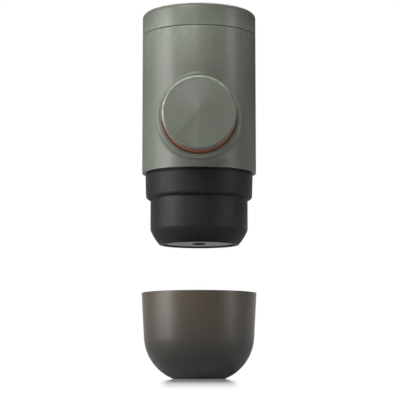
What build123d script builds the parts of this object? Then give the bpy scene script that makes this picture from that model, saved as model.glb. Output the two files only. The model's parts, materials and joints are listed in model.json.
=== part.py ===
"""Handheld manual espresso maker, held over its own cup as it pours.

Millimetres, +Z up. The origin is the centre of the cup's foot, and the piston knob faces -Y.
From the bottom up: cup, outlet head with its back-pressure valve, filter basket, brew head,
body with a cross-wise piston pump, water tank and tank lid.
"""

import math
import os

from build123d import *

# Clearances
seat_gap = 0.2  # between a piece that lifts off and its seat
turn_gap = 0.3  # between curved faces that slide or turn past each other
slip_gap = 0.1  # between pieces fixed inside one another
fit_gap = 0.05  # running fit of the knob on the piston rod
stop_gap = 0.5  # left between a moving piece and its end stop

# Overall heights, stacked from the table
cup_height = 46.0
pour_gap = 26.0  # from the cup's rim to the outlet head
outlet_height = 24.6
collar_height = 14.2
shell_height = 75.8
lid_height = 13.4
knob_rise = 25.8  # from the foot of the casing to the knob's axis

# Casing and cup, flush with each other when the cup is pushed on
body_radius = 31.0
body_wall = 2.0
ledge_thickness = 1.1
ledge_width = 1.6  # of the ring inside the casing that the tank stands on
cup_wall = 1.3
cup_taper = 1.3  # radius lost from the rim to the shoulder
cup_shoulder_height = 22.0
cup_foot_radius = 14.0
cup_rim_chamfer = 0.4

# Brew head: the black collar under the casing
cup_slip = 0.5  # between the collar and the cup pushed over it
collar_flare = 0.4
collar_wall = 2.1
collar_round = 2.0
collar_edge_chamfer = 0.4
shadow_gap = 1.0  # groove between the collar and the casing
shadow_depth = 1.0
brew_plate = 3.0
brew_neck_wall = 2.0
brew_neck_height = 4.4
water_channel = 1.2  # depth of the distribution groove over the screen
channel_inner = 4.5
water_bore = 1.1
nipple_radius = 1.4
nipple_length = 2.6

# Outlet head
outlet_wall = 2.4
outlet_taper = 5.0
outlet_cone_height = 8.0
outlet_bulge = 0.4
outlet_rim = 2.5
outlet_rim_chamfer = 0.5
outlet_cone_round = 3.0
outlet_neck = 8.0  # reach into the collar
outlet_floor = 2.4
outlet_cove = 3.0
plate_recess = 0.7
plate_thickness = 1.2
plate_chamfer = 0.3

# Back-pressure valve over the spout
housing_radius = 6.1
housing_flange = 8.5
housing_flange_thickness = 1.4
housing_seal_thickness = 0.8
housing_rise = 4.3  # above the flange
spout_radius = 3.4
spout_bore = 2.0
spout_lip = 0.2  # of the spout above the outlet's rim
valve_bore = 4.4
valve_floor = 3.0  # of the valve's chamber above the outlet's rim
valve_seat_thickness = 1.5
valve_seat_hole = 1.6
valve_seat_chamfer = 0.7
valve_head = 3.9
valve_head_thickness = 1.2
valve_stem = 1.4
valve_travel = 1.5
crema_spring_radius = 2.6
crema_wire = 0.7
crema_turns = 3.0

# Filter basket, gasket and shower screen
basket_flange_width = 3.2
basket_sheet = 0.6
basket_taper = 0.8
basket_clearance = 0.9
basket_floor_gap = 1.2  # over the valve seat
basket_seat_depth = 3.1  # of the flange under the outlet head's top edge
basket_hole = 0.8
basket_hole_margin = 3.5  # from the outer holes' centres to the edge of the floor
basket_hole_rows = 3
ceiling_gap = 1.0  # from the outlet head's top edge to the brew head
screen_margin = 0.7
screen_sheet = 0.6
screen_hole = 0.9
screen_hole_margin = 3.6
screen_hole_rows = 3
screw_head = 3.2
screw_head_height = 1.4
screw_shank = 1.5
screw_bite = 4.4  # of the screw in the brew head

# Piston and its guide, on the knob's axis
piston_stroke = 9.5
cap_radius = 19.4
cap_thickness = 4.0
cap_cone_rise = 2.4
cap_edge_round = 1.0
cap_rim_width = 1.3
cap_skirt = 5.0
cap_skirt_wall = 1.5
cap_marker_start = 225.0  # where the face's sunk wedge is deepest
cap_marker_end = 268.0  # where it runs out level with the cone
cap_marker_depth = 0.6
hub_radius = 6.5
hub_length = 4.9
sleeve_inset = 0.1
sleeve_wall = 1.6
sleeve_catch = 0.5
sleeve_skirt = 7.0
guide_wall = 0.8
guide_floor = 3.0
boss_wall = 1.2
boss_proud = 3.8
boss_root_round = 3.2
boss_edge_chamfer = 0.4
lip_thickness = 1.5
rod_radius = 5.8
rod_spigot = 4.0
rod_length = 42.3
rod_disc_radius = 15.8
rod_disc_thickness = 2.3
ring_depth = 0.7  # of the piston ring's groove
ring_width = 1.3
ring_setback = 1.0  # from the rod's tip
return_spring_radius = 11.0
return_wire = 1.4
return_turns = 5.0

# Pump
pump_clearance = 0.7
pump_wall = 2.5
pump_end_wall = 2.5
pump_flange = 17.5
pump_flange_thickness = 3.5
gland_radius = 8.5
gland_depth = 2.0
port_radius = 2.4
port_offset = 2.5  # of the ports beyond the fully pressed rod
port_boss = 5.0
inlet_boss = 13.5  # its top above the pump's axis
outlet_boss = 15.5  # its foot below the pump's axis
valve_pocket = 3.6
inlet_pocket_depth = 2.0
outlet_pocket_depth = 4.0
duckbill_flange = 1.2
duckbill_body = 1.2
duckbill_length = 3.4
duckbill_bore = 1.2
duckbill_lip = 0.6
bill_clearance = 0.4
fitting_flange = 1.5
hose_nipple_radius = 1.9
hose_nipple_length = 3.2
suction_hose_wall = 1.2
delivery_hose_wall = 0.9
outlet_nipple_length = 2.6
small_screw_head = 1.9
small_screw_head_height = 1.2
small_screw_shank = 1.0
pump_screw_circle = 14.5
pump_screw_bite = 2.5
pump_screw_count = 3

# Chassis
chassis_thickness = 2.2
saddle_width = 18.0
saddle_length = 10.0
saddle_setback = 1.7  # from the inner end of the guide that it carries
post_width = 4.0
post_length = 5.0
post_spread = 7.0
post_y = 5.0
chassis_hole = 3.0
chassis_screw_margin = 3.7  # from their centres to the chassis's edge
chassis_screw_angle = 45.0  # of the first screw, from the right
chassis_screw_count = 4
chassis_screw_head = 2.6
chassis_screw_head_height = 1.8
chassis_screw_shank = 1.2
chassis_screw_bite = 2.1

# Water tank and lid
tank_gap = 0.2
tank_wall = 1.4
tank_shoulder = 2.4
tank_neck_height = 5.3
tank_spigot_length = 2.8
strainer_radius = 4.0
strainer_height = 2.5
strainer_sheet = 0.5
strainer_hole = 0.7
strainer_hole_circle = 2.5
strainer_hole_count = 5
seam_gap = 0.25
lid_wall = 2.2
lid_round_width = 6.0
lid_round_height = 3.2
lid_bevel = 0.7  # where the two bevels inside the crown meet, as a share of its width
liner_disc = 1.5
liner_step = 1.5
lid_gasket_height = 1.3
lid_gasket_width = 1.9
vent_stem = 1.5
vent_umbrella = 4.0
vent_umbrella_thickness = 0.7
vent_knob = 2.4
vent_knob_height = 0.8

# Levels and radii that follow
spout_z = cup_height + pour_gap
collar_z = spout_z + outlet_height
shell_z = collar_z + collar_height
seam_z = shell_z + shell_height
top_z = seam_z + lid_height
knob_z = shell_z + knob_rise

shell_bore = body_radius - body_wall
collar_radius = body_radius - cup_wall - cup_slip
collar_foot_radius = collar_radius - collar_flare
collar_bore = collar_foot_radius - collar_wall
collar_top_z = shell_z - shadow_gap
outlet_radius = collar_bore - turn_gap
outlet_tip_radius = outlet_radius - outlet_taper
outlet_bore = outlet_radius - outlet_wall
outlet_top_z = collar_z + outlet_neck
plate_seat_z = spout_z + plate_recess + plate_thickness
outlet_floor_z = plate_seat_z + outlet_floor
basket_flange_radius = outlet_bore - turn_gap
basket_radius = basket_flange_radius - basket_flange_width
basket_foot_radius = basket_radius - basket_taper
basket_hole_pitch = (basket_foot_radius - basket_hole_margin) / basket_hole_rows
basket_well = basket_radius + basket_clearance
basket_seat_z = outlet_top_z - basket_seat_depth
basket_top_z = basket_seat_z + basket_sheet
ceiling_z = outlet_top_z + ceiling_gap
brew_top_z = ceiling_z + brew_plate
plug_radius = basket_radius - slip_gap
screen_radius = basket_radius - basket_sheet - screen_margin
screen_hole_pitch = (screen_radius - screen_hole_margin) / screen_hole_rows
screen_z = basket_top_z + slip_gap
plug_z = screen_z + screen_sheet
channel_radius = screen_radius - screen_margin
brew_neck_radius = shell_bore - slip_gap

housing_flange_z = outlet_floor_z + housing_seal_thickness
housing_top_z = housing_flange_z + housing_flange_thickness + housing_rise
valve_floor_z = spout_z + valve_floor
valve_head_z = housing_top_z - fit_gap - valve_head_thickness
valve_top_z = housing_top_z + valve_seat_thickness
basket_floor_z = valve_top_z + basket_floor_gap

chassis_radius = brew_neck_radius - brew_neck_wall - seat_gap
chassis_screw_circle = chassis_radius - chassis_screw_margin
chassis_top_z = brew_top_z + chassis_thickness

sleeve_radius = cap_radius - sleeve_inset
sleeve_bore = sleeve_radius - sleeve_wall
lip_bore = sleeve_radius + turn_gap
sleeve_skirt_radius = sleeve_radius + sleeve_catch
guide_bore = sleeve_skirt_radius + turn_gap
guide_radius = guide_bore + guide_wall
boss_bore = guide_radius + slip_gap
boss_radius = boss_bore + boss_wall

boss_y = -(body_radius + boss_proud)
lip_y = boss_y + lip_thickness
guide_y = lip_y + slip_gap
cap_y = boss_y - stop_gap - piston_stroke  # back of the cap, knob released
skirt_y = lip_y + turn_gap
skirt_end_y = skirt_y + sleeve_skirt
guide_floor_y = skirt_end_y + piston_stroke + stop_gap + seat_gap
guide_end_y = guide_floor_y + guide_floor
saddle_y = guide_end_y - saddle_setback - saddle_length / 2
hub_y = cap_y + hub_length
disc_y = hub_y + turn_gap
rod_y = disc_y + rod_disc_thickness
tip_y = rod_y + rod_length
ring_y = tip_y - ring_setback
pump_bore = rod_radius + pump_clearance
pump_radius = pump_bore + pump_wall
port_y = tip_y + piston_stroke + port_offset
chamber_end_y = port_y + port_radius + slip_gap
pump_end_y = chamber_end_y + pump_end_wall

inlet_top_z = knob_z + inlet_boss
inlet_seat_z = inlet_top_z - inlet_pocket_depth
outlet_foot_z = knob_z - outlet_boss
outlet_seat_z = outlet_foot_z + outlet_pocket_depth
fitting_radius = valve_pocket - slip_gap

ledge_z = knob_z + guide_radius + turn_gap
tank_z = ledge_z + ledge_thickness
tank_radius = shell_bore - tank_gap
tank_neck_radius = tank_radius - tank_shoulder
tank_top_z = seam_z + tank_neck_height
lid_z = seam_z + seam_gap
lid_bore = body_radius - lid_wall
liner_radius = lid_bore - slip_gap
liner_bore = tank_neck_radius + turn_gap
lid_gasket_z = tank_top_z + seat_gap
liner_disc_z = lid_gasket_z + lid_gasket_height + seat_gap
liner_top_z = liner_disc_z + liner_disc

# Planes on the knob's axis: sketches there have +X right and +Y up, seen from the front
knob_axis = Axis((0, 0, knob_z), (0, 1, 0))


def front_plane(y):
    """Plane across the knob's axis at y, facing the user."""
    return Plane(origin=(0, y, knob_z), x_dir=(1, 0, 0), z_dir=(0, -1, 0))


def rings(builder, radius, level):
    """Round edges of a turned piece that have this radius and height."""
    return builder.edges().filter_by(GeomType.CIRCLE).filter_by(
        lambda edge: abs(edge.radius - radius) < 0.01 and abs(edge.arc_center.Z - level) < 0.01
    )


def knob_rings(builder, radius, y):
    """Round edges about the knob's axis that have this radius and depth."""
    return builder.edges().filter_by(GeomType.CIRCLE).filter_by(
        lambda edge: abs(edge.radius - radius) < 0.01 and abs(edge.arc_center.Y - y) < 0.01
    )


def turned(*points):
    """Closed half outline, (radius, height) point by point, turned about Z."""
    with BuildSketch(Plane.XZ) as outline:
        with BuildLine():
            Polyline(*points, close=True)
        make_face()
    revolve(outline.sketch, axis=Axis.Z)


def turned_on_knob_axis(*points):
    """Closed half outline, (radius, y) point by point, turned about the knob's axis."""
    with BuildSketch(Plane.XY.offset(knob_z)) as outline:
        with BuildLine():
            Polyline(*points, close=True)
        make_face()
    revolve(outline.sketch, axis=knob_axis)


def upright_tube(center, outer, inner, bottom, top):
    """Upright tube between two heights, solid where the inner radius is 0."""
    with BuildSketch(Plane.XY.offset(bottom)) as section:
        with Locations(center):
            Circle(outer)
            if inner:
                Circle(inner, mode=Mode.SUBTRACT)
    extrude(section.sketch, amount=top - bottom)


def drill(center, radius, bottom, top):
    """Upright round hole between two heights."""
    with BuildSketch(Plane.XY.offset(bottom)) as section:
        with Locations(center):
            Circle(radius)
    extrude(section.sketch, amount=top - bottom, mode=Mode.SUBTRACT)


# ---------------------------------------------------------------------------
# Cup
# ---------------------------------------------------------------------------


def cup_outline(inset):
    """Half section of the cup, moved in from its outside by inset."""
    foot = (cup_foot_radius, inset)
    shoulder = (body_radius - cup_taper - inset, cup_shoulder_height)
    rim = (body_radius - inset, cup_height)
    with BuildSketch(Plane.XZ) as section:
        with BuildLine():
            wall = Line(rim, shoulder)
            TangentArc(shoulder, foot, tangent=wall % 1)
            Polyline(foot, (0, inset), (0, cup_height), rim)
        make_face()
    return section.sketch


with BuildPart() as cup:
    revolve(cup_outline(0), axis=Axis.Z)
    revolve(cup_outline(cup_wall), axis=Axis.Z, mode=Mode.SUBTRACT)
    chamfer(cup.edges().group_by(Axis.Z)[-1], cup_rim_chamfer)
cup.part.label = "cup"

# ---------------------------------------------------------------------------
# Outlet head
# ---------------------------------------------------------------------------

with BuildPart() as outlet_shell:
    with BuildSketch(Plane.XZ):
        with BuildLine():
            tip = (outlet_tip_radius, spout_z)
            cone_top = (outlet_radius, spout_z + outlet_cone_height)
            SagittaArc(tip, cone_top, outlet_bulge)
            Polyline(
                cone_top,
                (outlet_radius, outlet_top_z),
                (outlet_bore, outlet_top_z),
                (outlet_bore, basket_seat_z),
                (basket_well, basket_seat_z),
                (basket_well, outlet_floor_z + outlet_cove),
                (basket_well - outlet_cove, outlet_floor_z),
                (housing_radius + slip_gap, outlet_floor_z),
                (housing_radius + slip_gap, plate_seat_z),
                (outlet_tip_radius - outlet_rim, plate_seat_z),
                (outlet_tip_radius - outlet_rim, spout_z),
                tip,
            )
        make_face()
    revolve(axis=Axis.Z)
    fillet(rings(outlet_shell, outlet_radius, spout_z + outlet_cone_height), outlet_cone_round)
    chamfer(rings(outlet_shell, outlet_tip_radius, spout_z), outlet_rim_chamfer)
    chamfer(rings(outlet_shell, outlet_radius, outlet_top_z), outlet_rim_chamfer)
outlet_shell.part.label = "outlet_shell"

with BuildPart() as spout_plate:
    upright_tube(
        (0, 0),
        outlet_tip_radius - outlet_rim - slip_gap,
        spout_radius + slip_gap,
        plate_seat_z - plate_thickness,
        plate_seat_z,
    )
    chamfer(spout_plate.edges().group_by(Axis.Z)[0], plate_chamfer)
spout_plate.part.label = "spout_plate"

with BuildPart() as valve_housing:
    turned(
        (spout_bore, spout_z + spout_lip),
        (spout_radius, spout_z + spout_lip),
        (spout_radius, plate_seat_z),
        (housing_radius, plate_seat_z),
        (housing_radius, housing_flange_z),
        (housing_flange, housing_flange_z),
        (housing_flange, housing_flange_z + housing_flange_thickness),
        (housing_radius, housing_flange_z + housing_flange_thickness),
        (housing_radius, housing_top_z),
        (valve_bore, housing_top_z),
        (valve_bore, valve_floor_z),
        (spout_bore, valve_floor_z),
    )
valve_housing.part.label = "valve_housing"

with BuildPart() as housing_seal:
    upright_tube(
        (0, 0), housing_flange, housing_radius + slip_gap, outlet_floor_z, housing_flange_z
    )
housing_seal.part.label = "housing_seal"

with BuildPart() as valve_seat:
    upright_tube(
        (0, 0),
        housing_radius,
        valve_seat_hole,
        housing_top_z,
        valve_top_z,
    )
    chamfer(rings(valve_seat, valve_seat_hole, valve_top_z), valve_seat_chamfer)
valve_seat.part.label = "valve_seat"

with BuildPart() as crema_valve:
    upright_tube((0, 0), valve_head, 0, valve_head_z, valve_head_z + valve_head_thickness)
    upright_tube((0, 0), valve_stem, 0, valve_floor_z + valve_travel, valve_head_z)
crema_valve.part.label = "crema_valve"

with BuildPart() as crema_spring:
    coil_z = valve_floor_z + crema_wire
    coil_height = valve_head_z - crema_wire - coil_z
    with BuildLine() as crema_coil:
        Helix(coil_height / crema_turns, coil_height, crema_spring_radius, center=(0, 0, coil_z))
    with BuildSketch(Plane(origin=crema_coil.line @ 0, z_dir=crema_coil.line % 0)):
        Rectangle(crema_wire, crema_wire)
    sweep(path=crema_coil.line, is_frenet=True)
crema_spring.part.label = "crema_spring"

# ---------------------------------------------------------------------------
# Filter basket and its gasket
# ---------------------------------------------------------------------------

with BuildPart() as filter_basket:
    turned(
        (0, basket_floor_z),
        (basket_foot_radius, basket_floor_z),
        (basket_radius, basket_seat_z),
        (basket_flange_radius, basket_seat_z),
        (basket_flange_radius, basket_top_z),
        (basket_radius - basket_sheet, basket_top_z),
        (basket_foot_radius - basket_sheet, basket_floor_z + basket_sheet),
        (0, basket_floor_z + basket_sheet),
    )
    with BuildSketch(Plane.XY.offset(basket_floor_z)):
        RegularPolygon(basket_hole, 6)
        for row in range(1, basket_hole_rows + 1):
            with PolarLocations(row * basket_hole_pitch, 6 * row):
                RegularPolygon(basket_hole, 6)
    extrude(amount=basket_sheet, mode=Mode.SUBTRACT)
filter_basket.part.label = "filter_basket"

with BuildPart() as group_gasket:
    upright_tube(
        (0, 0),
        basket_flange_radius,
        plug_radius + turn_gap,
        basket_top_z + seat_gap,
        ceiling_z - seat_gap,
    )
group_gasket.part.label = "group_gasket"

# ---------------------------------------------------------------------------
# Brew head
# ---------------------------------------------------------------------------

with BuildPart() as brew_head:
    turned(
        (collar_bore, collar_z),
        (collar_foot_radius, collar_z),
        (collar_radius, collar_top_z),
        (brew_neck_radius - shadow_depth, collar_top_z),
        (brew_neck_radius - shadow_depth, shell_z),
        (brew_neck_radius, shell_z),
        (brew_neck_radius, brew_top_z + brew_neck_height),
        (brew_neck_radius - brew_neck_wall, brew_top_z + brew_neck_height),
        (brew_neck_radius - brew_neck_wall, brew_top_z),
        (0, brew_top_z),
        (0, plug_z),
        (channel_inner, plug_z),
        (channel_inner, plug_z + water_channel),
        (channel_radius, plug_z + water_channel),
        (channel_radius, plug_z),
        (plug_radius, plug_z),
        (plug_radius, ceiling_z),
        (collar_bore, ceiling_z),
    )
    fillet(rings(brew_head, collar_foot_radius, collar_z), collar_round)
    chamfer(rings(brew_head, collar_radius, collar_top_z), collar_edge_chamfer)
    upright_tube((0, port_y), nipple_radius, 0, brew_top_z, brew_top_z + nipple_length)
    drill((0, port_y), water_bore, plug_z, brew_top_z + nipple_length)
    drill((0, 0), screw_shank, plug_z, plug_z + screw_bite)
    with BuildSketch(Plane.XY.offset(brew_top_z - chassis_screw_bite)):
        with PolarLocations(chassis_screw_circle, chassis_screw_count, chassis_screw_angle):
            Circle(chassis_screw_shank)
    extrude(amount=chassis_screw_bite, mode=Mode.SUBTRACT)
brew_head.part.label = "brew_head"

with BuildPart() as shower_screen:
    with BuildSketch(Plane.XY.offset(screen_z)):
        Circle(screen_radius)
        Circle(screw_shank + slip_gap, mode=Mode.SUBTRACT)
        for row in range(1, screen_hole_rows + 1):
            with PolarLocations(row * screen_hole_pitch, 6 * row):
                RegularPolygon(screen_hole, 6, mode=Mode.SUBTRACT)
    extrude(amount=screen_sheet)
shower_screen.part.label = "shower_screen"

with BuildPart() as screen_screw:
    upright_tube((0, 0), screw_head, 0, screen_z - screw_head_height, screen_z)
    upright_tube((0, 0), screw_shank, 0, screen_z, plug_z + screw_bite)
    chamfer(rings(screen_screw, screw_head, screen_z - screw_head_height), plate_chamfer)
screen_screw.part.label = "screen_screw"

# ---------------------------------------------------------------------------
# Casing
# ---------------------------------------------------------------------------

with BuildPart() as body_shell:
    with BuildSketch(Plane.XY.offset(shell_z)):
        Circle(body_radius)
    extrude(amount=shell_height)
    with BuildSketch(front_plane(boss_y)):
        Circle(boss_radius)
    extrude(amount=boss_y)
    boss_root = body_shell.edges().filter_by(
        lambda edge: edge.geom_type != GeomType.CIRCLE
        and edge.geom_type != GeomType.LINE
        and edge.center(CenterOf.BOUNDING_BOX).Y < 0
    )
    fillet(boss_root, boss_root_round)
    chamfer(knob_rings(body_shell, boss_radius, boss_y), boss_edge_chamfer)
    drill((0, 0), shell_bore, shell_z, seam_z)
    with BuildSketch(Plane.XY.offset(ledge_z)):
        Circle(shell_bore + slip_gap)
        Circle(shell_bore - ledge_width, mode=Mode.SUBTRACT)
    extrude(amount=ledge_thickness)
    with BuildSketch(front_plane(boss_y)):
        Circle(lip_bore)
    extrude(amount=boss_y, mode=Mode.SUBTRACT)
    with BuildSketch(front_plane(lip_y)):
        Circle(boss_bore)
    extrude(amount=lip_y, mode=Mode.SUBTRACT)
body_shell.part.label = "body_shell"

# ---------------------------------------------------------------------------
# Chassis inside the casing
# ---------------------------------------------------------------------------

with BuildPart() as chassis:
    with BuildSketch(Plane.XY.offset(brew_top_z)):
        Circle(chassis_radius)
    extrude(amount=chassis_thickness)
    with BuildSketch(Plane.XY.offset(chassis_top_z)):
        with Locations((0, saddle_y)):
            Rectangle(saddle_width, saddle_length)
        with Locations((-post_spread, post_y), (post_spread, post_y)):
            Rectangle(post_width, post_length)
    extrude(amount=knob_z - chassis_top_z)
    with BuildSketch(front_plane(guide_y)):
        Circle(guide_radius + slip_gap)
    extrude(amount=guide_y - guide_end_y, mode=Mode.SUBTRACT)
    with BuildSketch(front_plane(guide_end_y)):
        Circle(pump_radius + slip_gap)
    extrude(amount=guide_end_y - pump_end_y, mode=Mode.SUBTRACT)
    drill((0, port_y), chassis_hole, brew_top_z, chassis_top_z)
    with BuildSketch(Plane.XY.offset(brew_top_z)):
        with PolarLocations(chassis_screw_circle, chassis_screw_count, chassis_screw_angle):
            Circle(chassis_screw_shank + slip_gap)
    extrude(amount=chassis_thickness, mode=Mode.SUBTRACT)
chassis.part.label = "chassis"

with BuildPart() as chassis_screws:
    with BuildSketch(Plane.XY.offset(brew_top_z - chassis_screw_bite)):
        with PolarLocations(chassis_screw_circle, chassis_screw_count, chassis_screw_angle):
            Circle(chassis_screw_shank)
    extrude(amount=chassis_screw_bite + chassis_thickness)
    with BuildSketch(Plane.XY.offset(chassis_top_z)):
        with PolarLocations(chassis_screw_circle, chassis_screw_count, chassis_screw_angle):
            Circle(chassis_screw_head)
    extrude(amount=chassis_screw_head_height)
chassis_screws.part.label = "chassis_screws"

# ---------------------------------------------------------------------------
# Piston guide and pump
# ---------------------------------------------------------------------------

with BuildPart() as piston_guide:
    turned_on_knob_axis(
        (guide_bore, guide_y),
        (guide_radius, guide_y),
        (guide_radius, guide_end_y),
        (pump_bore, guide_end_y),
        (pump_bore, guide_floor_y),
        (guide_bore, guide_floor_y),
    )
    with BuildSketch(front_plane(guide_floor_y)):
        with PolarLocations(pump_screw_circle, pump_screw_count, 90):
            Circle(small_screw_shank + slip_gap)
    extrude(amount=-guide_floor, mode=Mode.SUBTRACT)
piston_guide.part.label = "piston_guide"

with BuildPart() as pump_cylinder:
    turned_on_knob_axis(
        (0, chamber_end_y),
        (pump_bore, chamber_end_y),
        (pump_bore, guide_end_y + gland_depth),
        (gland_radius, guide_end_y + gland_depth),
        (gland_radius, guide_end_y),
        (pump_flange, guide_end_y),
        (pump_flange, guide_end_y + pump_flange_thickness),
        (pump_radius, guide_end_y + pump_flange_thickness),
        (pump_radius, pump_end_y),
        (0, pump_end_y),
    )
    with BuildSketch(Plane.XY.offset(outlet_foot_z)):
        with Locations((0, port_y)):
            Circle(port_boss)
    extrude(amount=inlet_top_z - outlet_foot_z)
    with BuildSketch(front_plane(guide_end_y)):
        Circle(pump_bore)
    extrude(amount=guide_end_y - chamber_end_y, mode=Mode.SUBTRACT)
    drill((0, port_y), port_radius, outlet_foot_z, inlet_top_z)
    drill((0, port_y), valve_pocket, inlet_seat_z, inlet_top_z)
    drill((0, port_y), valve_pocket, outlet_foot_z, outlet_seat_z)
    with BuildSketch(front_plane(guide_end_y)):
        with PolarLocations(pump_screw_circle, pump_screw_count, 90):
            Circle(small_screw_shank)
    extrude(amount=-pump_screw_bite, mode=Mode.SUBTRACT)
pump_cylinder.part.label = "pump_cylinder"

with BuildPart() as pump_screws:
    with BuildSketch(front_plane(guide_floor_y)):
        with PolarLocations(pump_screw_circle, pump_screw_count, 90):
            Circle(small_screw_shank)
    extrude(amount=-(guide_floor + pump_screw_bite))
    with BuildSketch(front_plane(guide_floor_y)):
        with PolarLocations(pump_screw_circle, pump_screw_count, 90):
            Circle(small_screw_head)
    extrude(amount=small_screw_head_height)
pump_screws.part.label = "pump_screws"

with BuildPart() as rod_seal:
    turned_on_knob_axis(
        (rod_radius + seat_gap, guide_end_y),
        (gland_radius - slip_gap, guide_end_y),
        (gland_radius - slip_gap, guide_end_y + gland_depth),
        (rod_radius + seat_gap, guide_end_y + gland_depth),
    )
rod_seal.part.label = "rod_seal"


def duckbill(flange_z):
    """Silicone check valve that lets water down through its lips."""
    bill_radius = port_radius - bill_clearance
    lip_z = flange_z - duckbill_length
    with BuildPart() as valve:
        upright_tube((0, port_y), fitting_radius, 0, flange_z, flange_z + duckbill_flange)
        upright_tube((0, port_y), bill_radius, 0, flange_z - duckbill_body, flange_z)
        with BuildSketch(Plane.XY.offset(flange_z - duckbill_body)):
            with Locations((0, port_y)):
                Circle(bill_radius)
        with BuildSketch(Plane.XY.offset(lip_z)):
            with Locations((0, port_y)):
                Rectangle(2 * bill_radius - duckbill_lip, duckbill_lip)
        loft()
        drill((0, port_y), duckbill_bore, flange_z - duckbill_body, flange_z + duckbill_flange)
    return valve


inlet_valve = duckbill(inlet_seat_z)
inlet_valve.part.label = "inlet_valve"
outlet_valve = duckbill(outlet_seat_z - duckbill_flange)
outlet_valve.part.label = "outlet_valve"

with BuildPart() as inlet_fitting:
    flange_top_z = inlet_top_z + fitting_flange
    spigot_z = inlet_seat_z + duckbill_flange
    upright_tube((0, port_y), fitting_radius, 0, spigot_z, inlet_top_z)
    upright_tube((0, port_y), port_boss, 0, inlet_top_z, flange_top_z)
    upright_tube(
        (0, port_y), hose_nipple_radius, 0, flange_top_z, flange_top_z + hose_nipple_length
    )
    drill((0, port_y), water_bore, spigot_z, flange_top_z + hose_nipple_length)
inlet_fitting.part.label = "inlet_fitting"

with BuildPart() as outlet_fitting:
    spigot_top_z = outlet_seat_z - duckbill_flange
    flange_z = outlet_foot_z - fitting_flange
    nipple_z = flange_z - outlet_nipple_length
    upright_tube((0, port_y), fitting_radius, 0, outlet_foot_z, spigot_top_z)
    upright_tube((0, port_y), port_boss, 0, flange_z, outlet_foot_z)
    upright_tube((0, port_y), nipple_radius, 0, nipple_z, flange_z)
    drill((0, port_y), water_bore, nipple_z, spigot_top_z)
    drill((0, port_y), port_radius, spigot_top_z - duckbill_length - slip_gap, spigot_top_z)
outlet_fitting.part.label = "outlet_fitting"

with BuildPart() as suction_hose:
    upright_tube(
        (0, port_y),
        hose_nipple_radius + slip_gap + suction_hose_wall,
        hose_nipple_radius + slip_gap,
        inlet_top_z + fitting_flange + slip_gap,
        tank_z - slip_gap,
    )
suction_hose.part.label = "suction_hose"

with BuildPart() as delivery_hose:
    upright_tube(
        (0, port_y),
        nipple_radius + slip_gap + delivery_hose_wall,
        nipple_radius + slip_gap,
        brew_top_z + slip_gap,
        outlet_foot_z - fitting_flange - slip_gap,
    )
delivery_hose.part.label = "delivery_hose"

# ---------------------------------------------------------------------------
# Piston, its spring and the knob
# ---------------------------------------------------------------------------

with BuildPart() as piston_rod:
    turned_on_knob_axis(
        (0, cap_y + turn_gap),
        (rod_spigot, cap_y + turn_gap),
        (rod_spigot, disc_y),
        (rod_disc_radius, disc_y),
        (rod_disc_radius, rod_y),
        (rod_radius, rod_y),
        (rod_radius, ring_y - ring_width),
        (rod_radius - ring_depth, ring_y - ring_width),
        (rod_radius - ring_depth, ring_y),
        (rod_radius, ring_y),
        (rod_radius, tip_y),
        (0, tip_y),
    )
piston_rod.part.label = "piston_rod"

with BuildPart() as piston_seal:
    turned_on_knob_axis(
        (rod_radius - ring_depth, ring_y - ring_width),
        (rod_radius, ring_y - ring_width),
        (pump_bore - slip_gap, ring_y - ring_width / 2),
        (rod_radius, ring_y),
        (rod_radius - ring_depth, ring_y),
    )
piston_seal.part.label = "piston_seal"

with BuildPart() as return_spring:
    spring_start = rod_y + return_wire
    spring_length = guide_floor_y - return_wire - spring_start
    with BuildLine() as return_coil:
        Helix(
            spring_length / return_turns,
            spring_length,
            return_spring_radius,
            center=(0, spring_start, knob_z),
            direction=(0, 1, 0),
        )
    with BuildSketch(Plane(origin=return_coil.line @ 0, z_dir=return_coil.line % 0)):
        Rectangle(return_wire, return_wire)
    sweep(path=return_coil.line, is_frenet=True)
return_spring.part.label = "return_spring"

with BuildPart() as knob_sleeve:
    turned_on_knob_axis(
        (sleeve_bore, cap_y),
        (sleeve_radius, cap_y),
        (sleeve_radius, skirt_y),
        (sleeve_skirt_radius, skirt_y),
        (sleeve_skirt_radius, skirt_end_y),
        (sleeve_bore, skirt_end_y),
    )
knob_sleeve.part.label = "knob_sleeve"

# The sunk wedge of the cap's face: its floor hinges on the cone along the wedge's end.
rim_y = cap_y - cap_thickness
cone_radius = cap_radius - cap_rim_width
apex = Vector(0, rim_y - cap_cone_rise, knob_z)
level_end = Vector(cone_radius, 0, 0).rotate(Axis.Y, -cap_marker_end)
sunk_end = Vector(cone_radius, cap_marker_depth, 0).rotate(Axis.Y, -cap_marker_start)
rim_centre = Vector(0, rim_y, knob_z)
floor_x = rim_centre + level_end - apex
floor_normal = floor_x.cross(rim_centre + sunk_end - apex)
wedge_floor = Plane(origin=apex, x_dir=floor_x, z_dir=floor_normal)

with BuildPart() as cap_marker:
    with BuildSketch(front_plane(cap_y)):
        with BuildLine():
            wedge_arc = CenterArc(
                (0, 0), cone_radius, cap_marker_start, cap_marker_end - cap_marker_start
            )
            Polyline(wedge_arc @ 1, (0, 0), wedge_arc @ 0)
        make_face()
    extrude(amount=cap_thickness + 2 * cap_cone_rise)
    split(bisect_by=wedge_floor, keep=Keep.BOTTOM if floor_normal.Y > 0 else Keep.TOP)

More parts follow.
